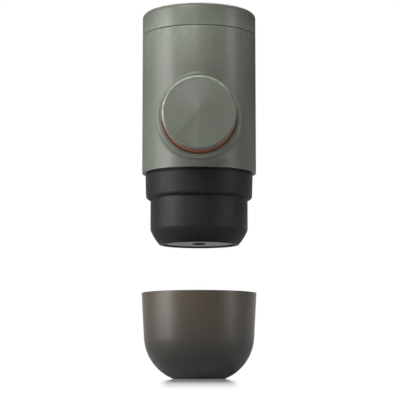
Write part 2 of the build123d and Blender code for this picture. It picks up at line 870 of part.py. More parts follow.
with BuildPart() as knob_cap:
    skirt_radius = sleeve_bore - slip_gap
    turned_on_knob_axis(
        (0, rim_y - cap_cone_rise),
        (cone_radius, rim_y),
        (cap_radius, rim_y),
        (cap_radius, cap_y),
        (skirt_radius, cap_y),
        (skirt_radius, cap_y + cap_skirt),
        (skirt_radius - cap_skirt_wall, cap_y + cap_skirt),
        (skirt_radius - cap_skirt_wall, cap_y),
        (hub_radius, cap_y),
        (hub_radius, hub_y),
        (rod_spigot + fit_gap, hub_y),
        (rod_spigot + fit_gap, cap_y),
        (0, cap_y),
    )
    fillet(knob_rings(knob_cap, cap_radius, rim_y), cap_edge_round)
    add(cap_marker.part, mode=Mode.SUBTRACT)
knob_cap.part.label = "knob_cap"

# ---------------------------------------------------------------------------
# Water tank
# ---------------------------------------------------------------------------

with BuildPart() as water_tank:
    inner_radius = tank_radius - tank_wall
    neck_bore = tank_neck_radius - tank_wall
    shoulder_z = seam_z - tank_wall
    turned(
        (0, tank_z),
        (tank_radius, tank_z),
        (tank_radius, shoulder_z),
        (tank_neck_radius, seam_z),
        (tank_neck_radius, tank_top_z),
        (neck_bore, tank_top_z),
        (neck_bore, seam_z - tank_wall),
        (inner_radius, shoulder_z - tank_wall),
        (inner_radius, tank_z + tank_wall),
        (0, tank_z + tank_wall),
    )
    upright_tube((0, port_y), hose_nipple_radius, 0, tank_z - tank_spigot_length, tank_z)
    drill((0, port_y), water_bore, tank_z - tank_spigot_length, tank_z + tank_wall)
water_tank.part.label = "water_tank"

with BuildPart() as tank_strainer:
    strainer_z = tank_z + tank_wall
    upright_tube((0, port_y), strainer_radius, 0, strainer_z, strainer_z + strainer_height)
    drill(
        (0, port_y),
        strainer_radius - strainer_sheet,
        strainer_z,
        strainer_z + strainer_height - strainer_sheet,
    )
    with BuildSketch(Plane.XY.offset(strainer_z)):
        with Locations((0, port_y)):
            with PolarLocations(strainer_hole_circle, strainer_hole_count):
                Circle(strainer_hole)
    extrude(amount=strainer_height, mode=Mode.SUBTRACT)
tank_strainer.part.label = "tank_strainer"

# ---------------------------------------------------------------------------
# Tank lid
# ---------------------------------------------------------------------------

with BuildPart() as lid_shell:
    flat_radius = body_radius - lid_round_width
    crown_z = top_z - lid_round_height
    with BuildSketch(Plane.XZ):
        with BuildLine():
            crown = EllipticalCenterArc(
                (flat_radius, crown_z),
                lid_round_width,
                lid_round_height,
                start_angle=0,
                arc_size=90,
            )
            Polyline(
                crown @ 1,
                (0, top_z),
                (0, top_z - lid_wall),
                (flat_radius, top_z - lid_wall),
                (
                    flat_radius + lid_bevel * (lid_bore - flat_radius),
                    crown_z + lid_bevel * (top_z - lid_wall - crown_z),
                ),
                (lid_bore, crown_z),
                (lid_bore, lid_z),
                (body_radius, lid_z),
                crown @ 0,
            )
        make_face()
    revolve(axis=Axis.Z)
lid_shell.part.label = "lid_shell"

with BuildPart() as lid_liner:
    disc_radius = liner_radius - liner_step
    turned(
        (liner_bore, lid_z + seam_gap),
        (liner_radius, lid_z + seam_gap),
        (liner_radius, liner_disc_z),
        (disc_radius, liner_top_z),
        (vent_stem + slip_gap, liner_top_z),
        (vent_stem + slip_gap, liner_disc_z),
        (liner_bore, liner_disc_z),
    )
lid_liner.part.label = "lid_liner"

with BuildPart() as lid_gasket:
    upright_tube(
        (0, 0),
        tank_neck_radius,
        tank_neck_radius - lid_gasket_width,
        lid_gasket_z,
        lid_gasket_z + lid_gasket_height,
    )
lid_gasket.part.label = "lid_gasket"

with BuildPart() as vent_valve:
    turned(
        (0, liner_disc_z - vent_umbrella_thickness),
        (vent_umbrella, liner_disc_z - slip_gap),
        (vent_umbrella, liner_disc_z),
        (vent_stem, liner_disc_z),
        (vent_stem, liner_top_z),
        (vent_knob, liner_top_z),
        (vent_stem, liner_top_z + vent_knob_height),
        (0, liner_top_z + vent_knob_height),
    )
vent_valve.part.label = "vent_valve"

# ---------------------------------------------------------------------------
# One STEP file per piece
# ---------------------------------------------------------------------------

os.makedirs("parts", exist_ok=True)
export_step(cup.part, "parts/cup.step")
export_step(outlet_shell.part, "parts/outlet_shell.step")
export_step(spout_plate.part, "parts/spout_plate.step")
export_step(valve_housing.part, "parts/valve_housing.step")
export_step(housing_seal.part, "parts/housing_seal.step")
export_step(valve_seat.part, "parts/valve_seat.step")
export_step(crema_valve.part, "parts/crema_valve.step")
export_step(crema_spring.part, "parts/crema_spring.step")
export_step(filter_basket.part, "parts/filter_basket.step")
export_step(group_gasket.part, "parts/group_gasket.step")
export_step(brew_head.part, "parts/brew_head.step")
export_step(shower_screen.part, "parts/shower_screen.step")
export_step(screen_screw.part, "parts/screen_screw.step")
export_step(body_shell.part, "parts/body_shell.step")
export_step(chassis.part, "parts/chassis.step")
export_step(chassis_screws.part, "parts/chassis_screws.step")
export_step(piston_guide.part, "parts/piston_guide.step")
export_step(pump_cylinder.part, "parts/pump_cylinder.step")
export_step(pump_screws.part, "parts/pump_screws.step")
export_step(rod_seal.part, "parts/rod_seal.step")
export_step(inlet_valve.part, "parts/inlet_valve.step")
export_step(outlet_valve.part, "parts/outlet_valve.step")
export_step(inlet_fitting.part, "parts/inlet_fitting.step")
export_step(outlet_fitting.part, "parts/outlet_fitting.step")
export_step(suction_hose.part, "parts/suction_hose.step")
export_step(delivery_hose.part, "parts/delivery_hose.step")
export_step(piston_rod.part, "parts/piston_rod.step")
export_step(piston_seal.part, "parts/piston_seal.step")
export_step(return_spring.part, "parts/return_spring.step")
export_step(knob_sleeve.part, "parts/knob_sleeve.step")
export_step(knob_cap.part, "parts/knob_cap.step")
export_step(water_tank.part, "parts/water_tank.step")
export_step(tank_strainer.part, "parts/tank_strainer.step")
export_step(lid_shell.part, "parts/lid_shell.step")
export_step(lid_liner.part, "parts/lid_liner.step")
export_step(lid_gasket.part, "parts/lid_gasket.step")
export_step(vent_valve.part, "parts/vent_valve.step")
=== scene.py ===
"""Shells, finishes and studio for a hand-pumped espresso maker that stands over its cup.

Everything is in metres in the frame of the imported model: +Z up, the piston knob faces -Y.
"""

import json
import math

import bmesh
import bpy
from bpy.props import FloatProperty, FloatVectorProperty, IntProperty, PointerProperty
from bpy.types import Operator, Panel, PropertyGroup
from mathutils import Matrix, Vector

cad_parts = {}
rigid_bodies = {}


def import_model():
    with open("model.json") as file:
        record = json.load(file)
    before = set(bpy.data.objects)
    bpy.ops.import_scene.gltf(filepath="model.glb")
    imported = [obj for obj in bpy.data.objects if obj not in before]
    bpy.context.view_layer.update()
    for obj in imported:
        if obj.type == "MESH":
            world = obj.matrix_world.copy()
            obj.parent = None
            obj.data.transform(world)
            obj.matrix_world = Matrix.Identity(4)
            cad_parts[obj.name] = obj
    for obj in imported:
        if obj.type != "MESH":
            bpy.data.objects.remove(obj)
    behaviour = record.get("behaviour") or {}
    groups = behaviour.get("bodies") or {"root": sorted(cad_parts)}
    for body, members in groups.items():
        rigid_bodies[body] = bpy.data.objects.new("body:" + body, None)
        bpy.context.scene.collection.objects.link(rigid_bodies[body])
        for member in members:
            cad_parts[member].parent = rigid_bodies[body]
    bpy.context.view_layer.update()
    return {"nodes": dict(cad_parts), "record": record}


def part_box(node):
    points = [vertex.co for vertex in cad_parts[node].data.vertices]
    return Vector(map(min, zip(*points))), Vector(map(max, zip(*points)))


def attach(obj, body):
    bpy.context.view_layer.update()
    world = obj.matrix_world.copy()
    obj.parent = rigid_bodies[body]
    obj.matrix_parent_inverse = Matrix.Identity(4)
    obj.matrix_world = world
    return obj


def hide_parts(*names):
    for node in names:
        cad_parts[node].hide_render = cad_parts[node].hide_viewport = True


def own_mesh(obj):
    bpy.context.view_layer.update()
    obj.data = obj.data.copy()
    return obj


bl_info = {
    "name": "Espresso Maker Shells",
    "version": (1, 0, 0),
    "blender": (4, 5, 0),
    "location": "3D View > Sidebar > Espresso Maker",
    "description": "Builds the shells, finishes and studio of a hand-pumped espresso maker",
    "category": "Object",
}

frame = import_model()

# Places that the frame gives
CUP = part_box("cup")
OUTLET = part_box("outlet_shell")
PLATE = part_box("spout_plate")
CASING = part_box("body_shell")
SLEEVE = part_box("knob_sleeve")
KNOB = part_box("knob_cap")
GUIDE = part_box("piston_guide")
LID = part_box("lid_shell")
KNOB_Z = (KNOB[0].z + KNOB[1].z) / 2
SLEEVE_CATCH = 0.0005  # radius that the sleeve gains at its inner end
SLEEVE_RADIUS = SLEEVE[1].x - SLEEVE_CATCH


def srgb(red, green, blue):
    """Linear colour of an 8-bit display colour, by the sRGB curve."""
    return tuple(
        c / 12.92 if c <= 0.04045 else ((c + 0.055) / 1.055) ** 2.4
        for c in (red / 255, green / 255, blue / 255)
    )


def length(name, description, default):
    """A length that the sidebar shows."""
    return FloatProperty(name=name, description=description, default=default, unit="LENGTH", precision=5)


def bearing(name, description, degrees):
    """An angle that the sidebar shows, from its degrees."""
    return FloatProperty(name=name, description=description, default=math.radians(degrees), subtype="ANGLE")


def power(name, description, default):
    """A lamp's power that the sidebar shows."""
    return FloatProperty(name=name, description=description, default=default, min=0, unit="POWER")


def number(name, description, default, low=0, high=1):
    """A plain number that the sidebar shows."""
    return FloatProperty(name=name, description=description, default=default, min=low, max=high)


def colour(name, description, red, green, blue):
    """A colour that the sidebar shows, from its display values."""
    return FloatVectorProperty(
        name=name,
        description=description,
        default=srgb(red, green, blue),
        subtype="COLOR",
        min=0,
        max=1,
    )


# ---------------------------------------------------------------------------
# What a user may change
# ---------------------------------------------------------------------------


class CupSizes(PropertyGroup):
    wall: length("Wall", "Thickness of the cup's wall", 0.0013)
    taper: length("Taper", "Radius lost from the rim to the shoulder", 0.0013)
    shoulder: length("Shoulder", "Height at which the straight wall turns into the bowl", 0.022)
    foot: length("Foot", "Radius of the flat foot", 0.014)
    lip: length("Lip", "Rounding of the rim", 0.0004)


class OutletSizes(PropertyGroup):
    wall: length("Wall", "Thickness of the upper wall", 0.0024)
    taper: length("Taper", "Radius lost in the cone", 0.005)
    cone: length("Cone", "Height of the cone", 0.008)
    bulge: length("Bulge", "Rise of the cone's crowned flank", 0.0004)
    rim: length("Rim", "Width of the rim round the plate", 0.0025)
    rim_rounding: length("Rim rounding", "Rounding of the rim's edges", 0.0006)
    cone_rounding: length("Cone rounding", "Radius where the cone meets the wall", 0.003)
    basket_seat: length("Basket seat", "Depth of the basket's seat under the top", 0.0031)
    well: length("Well", "Radius of the well that holds the basket", 0.0214)
    nozzle: length("Nozzle", "Radius of the hole for the spout's nozzle", 0.0062)
    cove: length("Cove", "Bevel at the foot of the well", 0.003)
    floor: length("Floor", "Thickness of the floor over the plate", 0.0024)


class CasingSizes(PropertyGroup):
    wall: length("Wall", "Thickness of the casing", 0.002)
    edge: length("Edge", "Rounding of the casing's end edges", 0.0003)
    boss_radius: length("Boss radius", "Radius of the boss round the piston", 0.0222)
    boss_root: length("Boss root", "Fillet between the boss and the casing", 0.0027)
    boss_edge: length("Boss edge", "Rounding of the boss's front edge", 0.001)
    lip_clearance: length("Lip clearance", "Between the boss's lip and the sleeve", 0.0003)
    lip: length("Lip", "Thickness of the lip that keeps the piston in", 0.0015)
    guide_clearance: length("Guide clearance", "Between the boss and the piston's guide", 0.0001)
    ledge: length("Ledge", "Thickness of the ledge under the tank", 0.0011)
    ledge_width: length("Ledge width", "Width of the ledge under the tank", 0.0016)
    ledge_clearance: length("Ledge clearance", "Between the ledge and the piston's guide", 0.0003)
    patch_width: length("Patch width", "Half width of the skin's patch round the boss", 0.029)
    patch_height: length("Patch height", "Half height of the skin's patch round the boss", 0.02545)


class KnobSizes(PropertyGroup):
    thickness: length("Thickness", "Height of the cap's side", 0.004)
    edge: length("Edge", "Rounding of the cap's front edge", 0.0012)
    rim: length("Rim", "Width of the flat rim round the cone", 0.0013)
    scoop: length("Scoop", "Depth of the hollowed wedge at the rim", 0.00065)
    wedge_start: bearing("Wedge start", "Where the wedge begins, anticlockwise from the right", 225)
    wedge_end: bearing("Wedge end", "Where the wedge ends, anticlockwise from the right", 268)
    # side of the knob's rim that faces the light, where its painted highlight is strongest
    thumb: bearing("Highlight", "Middle of the rim's rubbed side, anticlockwise from the right", 118)
    sleeve_wall: length("Sleeve wall", "Thickness of the orange sleeve", 0.0016)
    sleeve_skirt: length("Sleeve skirt", "Length of the sleeve's wider inner end", 0.007)
    spigot: length("Spigot", "Radius of the piston rod's spigot", 0.00405)
    hub: length("Hub", "Radius of the cap's hub", 0.0065)
    hub_length: length("Hub length", "Reach of the hub behind the cap", 0.0049)
    skirt_clearance: length("Skirt clearance", "Between the cap's skirt and the sleeve", 0.0001)
    skirt_wall: length("Skirt wall", "Thickness of the cap's skirt", 0.0015)


class LidSizes(PropertyGroup):
    wall: length("Wall", "Thickness of the lid", 0.0022)
    crown_width: length("Crown width", "Width of the rounded shoulder", 0.006)
    crown_height: length("Crown height", "Height of the rounded shoulder", 0.0032)
    bevel: number("Bevel", "Where the inner bevels meet, as a share of the shoulder", 0.7, 0.1, 0.9)
    edge: length("Edge", "Rounding of the lid's lower edge", 0.00025)


class Colours(PropertyGroup):
    olive: colour("Olive", "Casing, lid and knob", 118, 123, 112)
    black: colour("Black", "Outlet head and collar", 21, 21, 22)
    smoke: colour("Smoke", "Upper half of the cup", 70, 61, 45)
    smoke_foot: colour("Smoke at the foot", "Lower half of the cup", 44, 43, 40)
    orange: colour("Orange", "Piston sleeve", 156, 90, 66)
    steel: colour("Steel", "Basket, screen and screws", 196, 197, 195)
    plate: colour("Plate", "Disc round the spout", 172, 172, 170)
    silicone: colour("Silicone", "Seals, valves and hoses", 178, 174, 166)
    works: colour("Works", "Pump and chassis", 70, 71, 73)
    tank: colour("Tank", "Water tank", 205, 208, 205)


class Studio(PropertyGroup):
    steps: IntProperty(name="Steps", description="Facets round a turned piece", default=180, min=24)
    distance: length("Distance", "From the camera to the maker's axis", 0.8)
    eye: length("Eye", "Height of the camera over the table", 0.002)
    aim: length("Aim", "Height on the axis that the camera looks at", 0.0966)
    aside: length("Aside", "How far the camera aims to the right of the axis", 0.0005)
    lens: FloatProperty(name="Lens", description="Focal length", default=133.3, unit="CAMERA")
    key: power("Key", "Power of the softbox at the front left", 1.75)
    side: power("Side", "Power of the softbox at the left side", 0.8)
    fill: power("Fill", "Power of the softbox at the front right", 0.72)
    top: power("Top", "Power of the softbox above", 2.45)
    back: power("Back", "Power of the softbox behind", 2.0)
    ambient: number("Ambient", "Strength of the room's light", 0.06)
    gloss: number("Gloss", "Strength of the room in mirrors", 0.03)
    floor: number("Floor", "Strength of the floor in mirrors", 0.1)
    glow: number("Glow", "Glow of the floor round the maker", 0.64)
    mirror: number("Mirror", "How much the floor mirrors at the maker's foot", 0.9)
    blur: number("Blur", "Roughness of the floor's mirror", 0.05)


# ---------------------------------------------------------------------------
# Outlines and turned shells
# ---------------------------------------------------------------------------

ARC_STEPS = 5  # across a rounding
BOWL_STEPS = 24  # up the cup's bowl
FLANK_STEPS = 5  # up the outlet head's cone
CROWN_STEPS = 16  # over the lid's shoulder
CONE_STEPS = 8  # out along the knob's cone
SKIN_STEPS = 4  # from the boss to the edge of its patch in the casing's skin
FILLET_STEPS = 6  # across the fillet round the boss
PATCH_STEPS = 30  # from the middle of a side of that patch to its corner
CREASE = math.radians(35)  # angle from which an edge is sharp
NEAR = 1e-6  # angle within which two columns are one
ON_AXIS = 1e-7  # radius within which a point is on the axis
WELD = 2e-7  # distance within which two points are one
BOSS_EDGE_LIMIT = 0.9  # share of the boss's rise that its edge may take
LIP_WEAR = 0.4  # wear of the boss's lip, where a rounding has 1
RIM_HIGHLIGHT = 4.5  # strength of the painted highlight along the knob's rim, on its lit side
RIM_HIGHLIGHT_FADE = 2.5  # how sharply that painted highlight ends towards the shaded side


def arc(centre, width, height, start, end, steps=ARC_STEPS):
    """Points of an elliptical arc between two angles, both ends included."""
    return [
        (
            centre[0] + width * math.cos(start + (end - start) * i / steps),
            centre[1] + height * math.sin(start + (end - start) * i / steps),
        )
        for i in range(steps + 1)
    ]


def rounded(*corners):
    """Closed outline through (a, b) corners, or (a, b, radius) where an edge is rounded.

    Gives (a, b, mark) points, where the mark is 1 on a rounding: scuffed edges, and on the knob's rim a
    painted highlight.
    """
    outline = []
    for i, corner in enumerate(corners):
        here = Vector(corner[:2])
        radius = corner[2] if len(corner) > 2 else 0
        if not radius:
            outline.append((here.x, here.y, 0.0))
            continue
        back = (Vector(corners[i - 1][:2]) - here).normalized()
        ahead = (Vector(corners[(i + 1) % len(corners)][:2]) - here).normalized()
        half = back.angle(ahead) / 2
        reach = radius / math.tan(half)
        centre = here + (back + ahead).normalized() * (radius / math.sin(half))
        first, last = here + back * reach - centre, here + ahead * reach - centre
        for step in range(ARC_STEPS + 1):
            spoke = first.slerp(last, step / ARC_STEPS).normalized() * radius
            outline.append((centre.x + spoke.x, centre.y + spoke.y, 1.0))
    return outline


def crest(share):
    """Height of a parabola that is 0 at both ends and 1 in the middle."""
    return 4 * share * (1 - share)


def around(steps):
    """Evenly spaced angles of one turn."""
    return [math.tau * i / steps for i in range(steps)]


def upright(radius, angle, level):
    """Point at a radius and an angle about the maker's axis."""
    return Vector((radius * math.cos(angle), radius * math.sin(angle), level))


def on_knob_axis(radius, angle, level):
    """Point at a radius and an angle about the knob's axis, seen from the front."""
    return Vector((radius * math.cos(angle), level, KNOB_Z + radius * math.sin(angle)))


def turn(mesh, outline, angles=None, place=upright, skip=None, move=None):
    """Turn a closed (radius, level, edge mark) outline through the given angles, or evenly all round.

    skip(j, i) leaves out a face, and move(j, i, point) gives a point of its own.
    """
    angles = angles or around(bpy.context.scene.maker_studio.steps)
    worn = mesh.verts.layers.float.get("worn") or mesh.verts.layers.float.new("worn")
    rings = []
    for j, (radius, level, edge_wear_and_highlight) in enumerate(outline):
        if radius < ON_AXIS:
            point = mesh.verts.new(place(0, 0, level))
            rings.append([point] * len(angles))
        else:
            ring = []
            for i, angle in enumerate(angles):
                point = place(radius, angle, level)
                ring.append(mesh.verts.new(move(j, i, point) if move else point))
            rings.append(ring)
        for vertex in rings[-1]:
            vertex[worn] = edge_wear_and_highlight
    for j, ring in enumerate(rings):
        above = rings[(j + 1) % len(rings)]
        for i in range(len(angles)):
            k = (i + 1) % len(angles)
            corners = list(dict.fromkeys((ring[i], ring[k], above[k], above[i])))
            if len(corners) > 2 and not (skip and skip(j, i)):
                mesh.faces.new(corners)


def placed(name, data):
    """A new object in the scene."""
    made = bpy.data.objects.new(name, data)
    bpy.context.scene.collection.objects.link(made)
    return made


def finished(name, mesh):
    """The mesh data that a bmesh ends as."""
    data = bpy.data.meshes.new(name)
    mesh.to_mesh(data)
    mesh.free()
    return data


def coat(data, finish):
    """Give a mesh this finish in place of those that it has."""
    data.materials.clear()
    data.materials.append(finish)


def piece(name, mesh, body, slot, *replaced):
    """Make an object of a mesh, smooth between creases, riding on its body."""
    bmesh.ops.remove_doubles(mesh, verts=mesh.verts, dist=WELD)
    bmesh.ops.recalc_face_normals(mesh, faces=mesh.faces)
    for face in mesh.faces:
        face.smooth = True
    for edge in mesh.edges:
        edge.smooth = edge.calc_face_angle(0) < CREASE
    made = placed(name, finished(name, mesh))
    coat(made.data, material(slot))
    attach(made, body)
    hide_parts(*replaced)


# ---------------------------------------------------------------------------
# Finishes
# ---------------------------------------------------------------------------

CLOUD_DETAIL = 3.0  # detail of a noise that makes clouds
GRAIN_ROUGHNESS = 0.6  # roughness of a noise that makes grain
MEAN = 0.5  # mean of a noise
CLOUDS = (0.3, 0.7)  # part of a noise's range that a finish stretches over its own
MARKS = (0.2, 0.8)  # the same for turning marks
RUB_AND_HIGHLIGHT = 2.5  # how much lighter plastic is at a full edge mark: scuffed edges, and the painted highlight on the knob's lit rim
PATCHES = (0.35, 0.75)  # noise at which a lighter patch on a marked edge starts and is full
PATCH_SHARES = (0.1, 0.3)  # how far a marked edge turns to that lighter shade outside a patch and in it
POLISH = 0.04  # roughness that an edge loses for each unit of its mark
TINT = (0.008, 0.036)  # heights between which the cup's tint turns from foot to rim
TINT_DRIFT = 0.008  # how far clouds move those heights
LIP_HIGHLIGHT = 1.5  # how much lighter than the cup the painted highlight on its lip is
LIP_HIGHLIGHT_SHARE = 0.35  # how much of that painted highlight the lip shows
ACROSS = (1, 1, 0)  # keeps the part of a vector that lies across the maker's axis
RELIEF = 0.00001  # depth of the finest relief
DEEPER = 0.00002  # depth of a coarser one


class Value:
    """An output's value in a shader. Arithmetic on it adds Math nodes to its finish."""

    def __init__(self, finish, socket):
        self.finish = finish
        self.socket = socket

    def math(self, operation, *terms):
        """The value of a Math node on these terms."""
        return self.finish.node("ShaderNodeMath", {"operation": operation}, *terms).value()

    def __add__(self, other):
        return self.math("ADD", self, other)

    __radd__ = __add__

    def __sub__(self, other):
        return self.math("SUBTRACT", self, other)

    def __rsub__(self, other):
        return self.math("SUBTRACT", other, self)

    def __mul__(self, other):
        return self.math("MULTIPLY", self, other)

    __rmul__ = __mul__

    def __pow__(self, other):
        return self.math("POWER", self, other)


class Made:
    """A node that a finish holds."""

    def __init__(self, finish, node):
        self.finish = finish
        self.node = node

    def value(self, output=0):
        """The value of one of its outputs, by place or by name."""
        return Value(self.finish, self.node.outputs[output])


class Finish:
    """A node tree with one way to add any node to it."""

    def __init__(self, tree):
        self.tree = tree
        tree.nodes.clear()

    def node(self, kind, settings=None, *values, **named):
        """Add a node: its settings first, then its sockets, by place or by name."""
        node = self.tree.nodes.new(kind)
        for setting, value in (settings or {}).items():
            setattr(node, setting, value)
        for socket, value in enumerate(values):
            self.feed(node.inputs[socket], value)
        for name, value in named.items():
            self.feed(node.inputs[name.replace("_", " ")], value)
        return Made(self, node)

    def feed(self, socket, value):
        """Link a value to a socket, or set the socket to a constant."""
        if isinstance(value, Value):
            self.tree.links.new(value.socket, socket)
        elif value is not None:
            socket.default_value = value

    def mix(self, share, first, second):
        """Colour at a share of the way between two others."""
        blend = self.node("ShaderNodeMix", {"data_type": "RGBA"}).node
        self.feed(blend.inputs["Factor"], share)
        self.feed(blend.inputs[6], first)
        self.feed(blend.inputs[7], second)
        return Value(self, blend.outputs[2])

    def place(self):
        """Where the surface is, in the model's frame."""
        return self.node("ShaderNodeTexCoord").value("Object")

    def size(self, vector):
        """Length of a vector."""
        return self.node("ShaderNodeVectorMath", {"operation": "LENGTH"}, vector).value("Value")

    def worn(self):
        """How far the surface is marked: 1 on a plain rounded edge, which is scuffed, and more on the
        knob's lit rim, where it is a painted highlight.
        """
        return self.node("ShaderNodeAttribute", {"attribute_name": "worn"}).value("Fac")

    def noise(self, scale, detail=2.0, roughness=0.5):
        """Noise from 0 to 1 at so many grains a metre."""
        sockets = {"Vector": self.place(), "Scale": scale, "Detail": detail, "Roughness": roughness}
        return self.node("ShaderNodeTexNoise", None, **sockets).value()

    def clouds(self, scale):
        """Noise in broad clouds, so many a metre, with finer ones in them."""
        return self.noise(scale, detail=CLOUD_DETAIL)

    def grain(self, scale):
        """Noise as the grain of a surface, so many grains a metre."""
        return self.noise(scale, roughness=GRAIN_ROUGHNESS)

    def swing(self, noise, reach):
        """A noise's swing about its mean, reach wide."""
        return (noise - MEAN) * reach

    def between(self, value, low, high, to_low=0.0, to_high=1.0):
        """Map a range onto another and clamp it."""
        return self.node("ShaderNodeMapRange", None, value, low, high, to_low, to_high).value()

    def vary(self, noise, number, less, more, span=CLOUDS):
        """A number that a noise lowers by up to less and raises by up to more."""
        return self.between(noise, *span, number - less, number + more)

    def mottle(self, noise, rgb, dark, light):
        """A colour that a noise takes from a darker shade to a lighter one."""
        return self.mix(noise, shade(rgb, dark), shade(rgb, light))

    def bump(self, height, strength, depth):
        """Normal of a relief that is so deep."""
        sockets = {"Height": height, "Strength": strength, "Distance": depth}
        return self.node("ShaderNodeBump", None, **sockets).value("Normal")


def shade(rgb, by=1.0):
    """A colour with its alpha, made lighter or darker."""
    return (*(min(1.0, channel * by) for channel in rgb[:3]), 1.0)


def surface(name, build, **constants):
    """A material whose Principled shader has these constants and what build feeds it."""
    made = bpy.data.materials.new(name)
    made.use_nodes = True
    finish = Finish(made.node_tree)
    shader = finish.node("ShaderNodeBsdfPrincipled", None, **constants)
    for socket, value in build(finish).items():
        finish.feed(shader.node.inputs[socket], value)
    finish.node("ShaderNodeOutputMaterial", None, Surface=shader.value())
    return made


def moulded(name, rgb, roughness, grain, depth, **constants):
    """Moulded plastic: faint mottling, a fine grain, edges scuffed a little brighter and a painted
    highlight on the knob's lit rim.
    """

    def build(finish):
        cloud, fine, worn = finish.clouds(45.0), finish.grain(grain), finish.worn()
        mottled = finish.mottle(finish.between(cloud, *CLOUDS), rgb, dark=0.96, light=1.04)
        # Lighter where edges are scuffed, and a painted highlight where the knob's rim faces the light.
        rubbed_and_lit = worn * finish.between(finish.clouds(260.0), *PATCHES, *PATCH_SHARES)
        rough = finish.vary(cloud, roughness, less=0.02, more=0.03)
        return {
            "Base Color": finish.mix(rubbed_and_lit, mottled, shade(rgb, RUB_AND_HIGHLIGHT)),
            "Roughness": rough + finish.swing(fine, 0.06) - worn * POLISH,
            "Normal": finish.bump(fine, strength=0.6, depth=depth),
        }

    return surface(name, build, **constants)


def smoked(name, rgb, foot, roughness, **constants):
    """Tinted plastic that darkens towards the cup's foot, with soft clouds in its tint and a painted
    highlight on its lip.
    """

    def build(finish):
        height = finish.node("ShaderNodeSeparateXYZ", None, finish.place()).value("Z")
        cloud, fine = finish.clouds(38.0), finish.grain(4800.0)
        level = finish.between(height + finish.swing(cloud, TINT_DRIFT), *TINT)
        tinted = finish.mix(level, shade(foot), shade(rgb))
        rough = finish.vary(cloud, roughness, less=0.03, more=0.03)
        return {
            # The lip's rounding gets a painted highlight, lighter than the cup.
            "Base Color": finish.mix(finish.worn() * LIP_HIGHLIGHT_SHARE, tinted, shade(rgb, LIP_HIGHLIGHT)),
            "Roughness": rough + finish.swing(fine, 0.05),
            "Normal": finish.bump(fine, strength=0.5, depth=RELIEF),
        }

    return surface(name, build, **constants)


def brushed(name, rgb, roughness, rings, **constants):
    """Satin metal with fine turning marks about the maker's axis."""

    def build(finish):
        product, line = {"operation": "MULTIPLY"}, {"noise_dimensions": "1D"}
        flat = finish.node("ShaderNodeVectorMath", product, finish.place(), ACROSS).value()
        marks = finish.node("ShaderNodeTexNoise", line, W=finish.size(flat), Scale=rings).value()
        rough = finish.vary(marks, roughness, less=0.05, more=0.08, span=MARKS)
        return {
            "Base Color": finish.mottle(marks, rgb, dark=0.9, light=1.06),
            "Roughness": rough + finish.swing(finish.noise(60.0), 0.06),
            "Normal": finish.bump(marks, strength=0.4, depth=DEEPER),
        }

    return surface(name, build, Metallic=1.0, **constants)


def drawn(name, rgb, roughness, **constants):
    """Drawn wire and small screws: bright metal with soft blotches."""

    def build(finish):
        streaks = finish.noise(1400.0)
        return {
            "Base Color": finish.mottle(finish.noise(160.0), rgb, dark=0.85, light=1.05),
            "Roughness": finish.vary(streaks, roughness, less=0.06, more=0.08),
            "Normal": finish.bump(streaks, strength=0.3, depth=RELIEF),
        }

    return surface(name, build, Metallic=1.0, **constants)


def rubbery(name, rgb, roughness, **constants):
    """Silicone: matt, a little cloudy, with a powdery sheen."""

    def build(finish):
        cloud = finish.clouds(220.0)
        return {
            "Base Color": finish.mottle(cloud, rgb, dark=0.9, light=1.08),
            "Roughness": finish.vary(cloud, roughness, less=0.04, more=0.06),
            "Normal": finish.bump(finish.noise(1800.0), strength=0.4, depth=DEEPER),
        }

    return surface(name, build, **constants)


def finishes(colours):
    """Every material of the maker by its slot."""
    fine = {"grain": 4200.0, "depth": DEEPER}
    pebbled = {"grain": 1100.0, "depth": 0.00042, "Specular_IOR_Level": 0.35}
    glossy = {"Specular_IOR_Level": 0.8}
    return {
        "olive_plastic": moulded("olive_plastic", colours.olive, 0.34, **fine),
        "black_plastic": moulded("black_plastic", colours.black, 0.46, **pebbled),
        "smoked_plastic": smoked("smoked_plastic", colours.smoke, colours.smoke_foot, 0.4, **glossy),
        "orange_plastic": moulded("orange_plastic", colours.orange, 0.45, **fine),
        "inner_plastic": moulded("inner_plastic", colours.works, 0.45, grain=3600.0, depth=DEEPER),
        "tank_plastic": moulded("tank_plastic", colours.tank, 0.35, grain=4200.0, depth=RELIEF),
        "satin_steel": brushed("satin_steel", colours.steel, 0.32, rings=9000.0),
        "plate_steel": brushed("plate_steel", colours.plate, 0.38, rings=7000.0),
        "spring_steel": drawn("spring_steel", colours.steel, 0.28),
        "silicone": rubbery("silicone", colours.silicone, 0.62),
    }


MATERIALS = {}


def material(slot):
    """The finish of a slot, made when it is first asked for."""
    if not MATERIALS:
        MATERIALS.update(finishes(bpy.context.scene.maker_colours))
    return MATERIALS[slot]


# ---------------------------------------------------------------------------
# Pieces
# ---------------------------------------------------------------------------


class MAKER_OT_works(Operator):
    """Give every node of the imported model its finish"""

    bl_idname = "maker.works"
    bl_label = "Inner works"

    def execute(self, context):
        slots = {row["node"]: row["material_slot"] for row in frame["record"]["subparts"]}
        for name, node in frame["nodes"].items():
            coat(node.data, material(slots[name]))
        coat(frame["nodes"]["spout_plate"].data, material("plate_steel"))
        return {"FINISHED"}


class MAKER_OT_springs(Operator):
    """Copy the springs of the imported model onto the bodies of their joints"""

    bl_idname = "maker.springs"
    bl_label = "Springs"

    def execute(self, context):
        for joint in frame["record"]["behaviour"]["joints"]:
            for spring in joint.get("deforming_nodes", []):
                node, letter = spring["node"], spring["mode"][-1]
                along, fixed = "xyz".index(letter), spring[f"fixed_end_{letter}_m"]
                reach = max(abs(corner[along] - fixed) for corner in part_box(node))
                travel = max(abs(limit) for limit in joint["range_m"])
                axis, anchor = Vector((0, 0, 0)), Vector((0, 0, 0))
                axis[along], anchor[along] = 1, fixed
                coil = placed(node.replace("spring", "coil"), frame["nodes"][node].data.copy())
                coat(coil.data, material("spring_steel"))
                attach(coil, joint["parent"])
                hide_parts(node)
                1 - travel / reach
                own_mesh(coil)
        return {"FINISHED"}


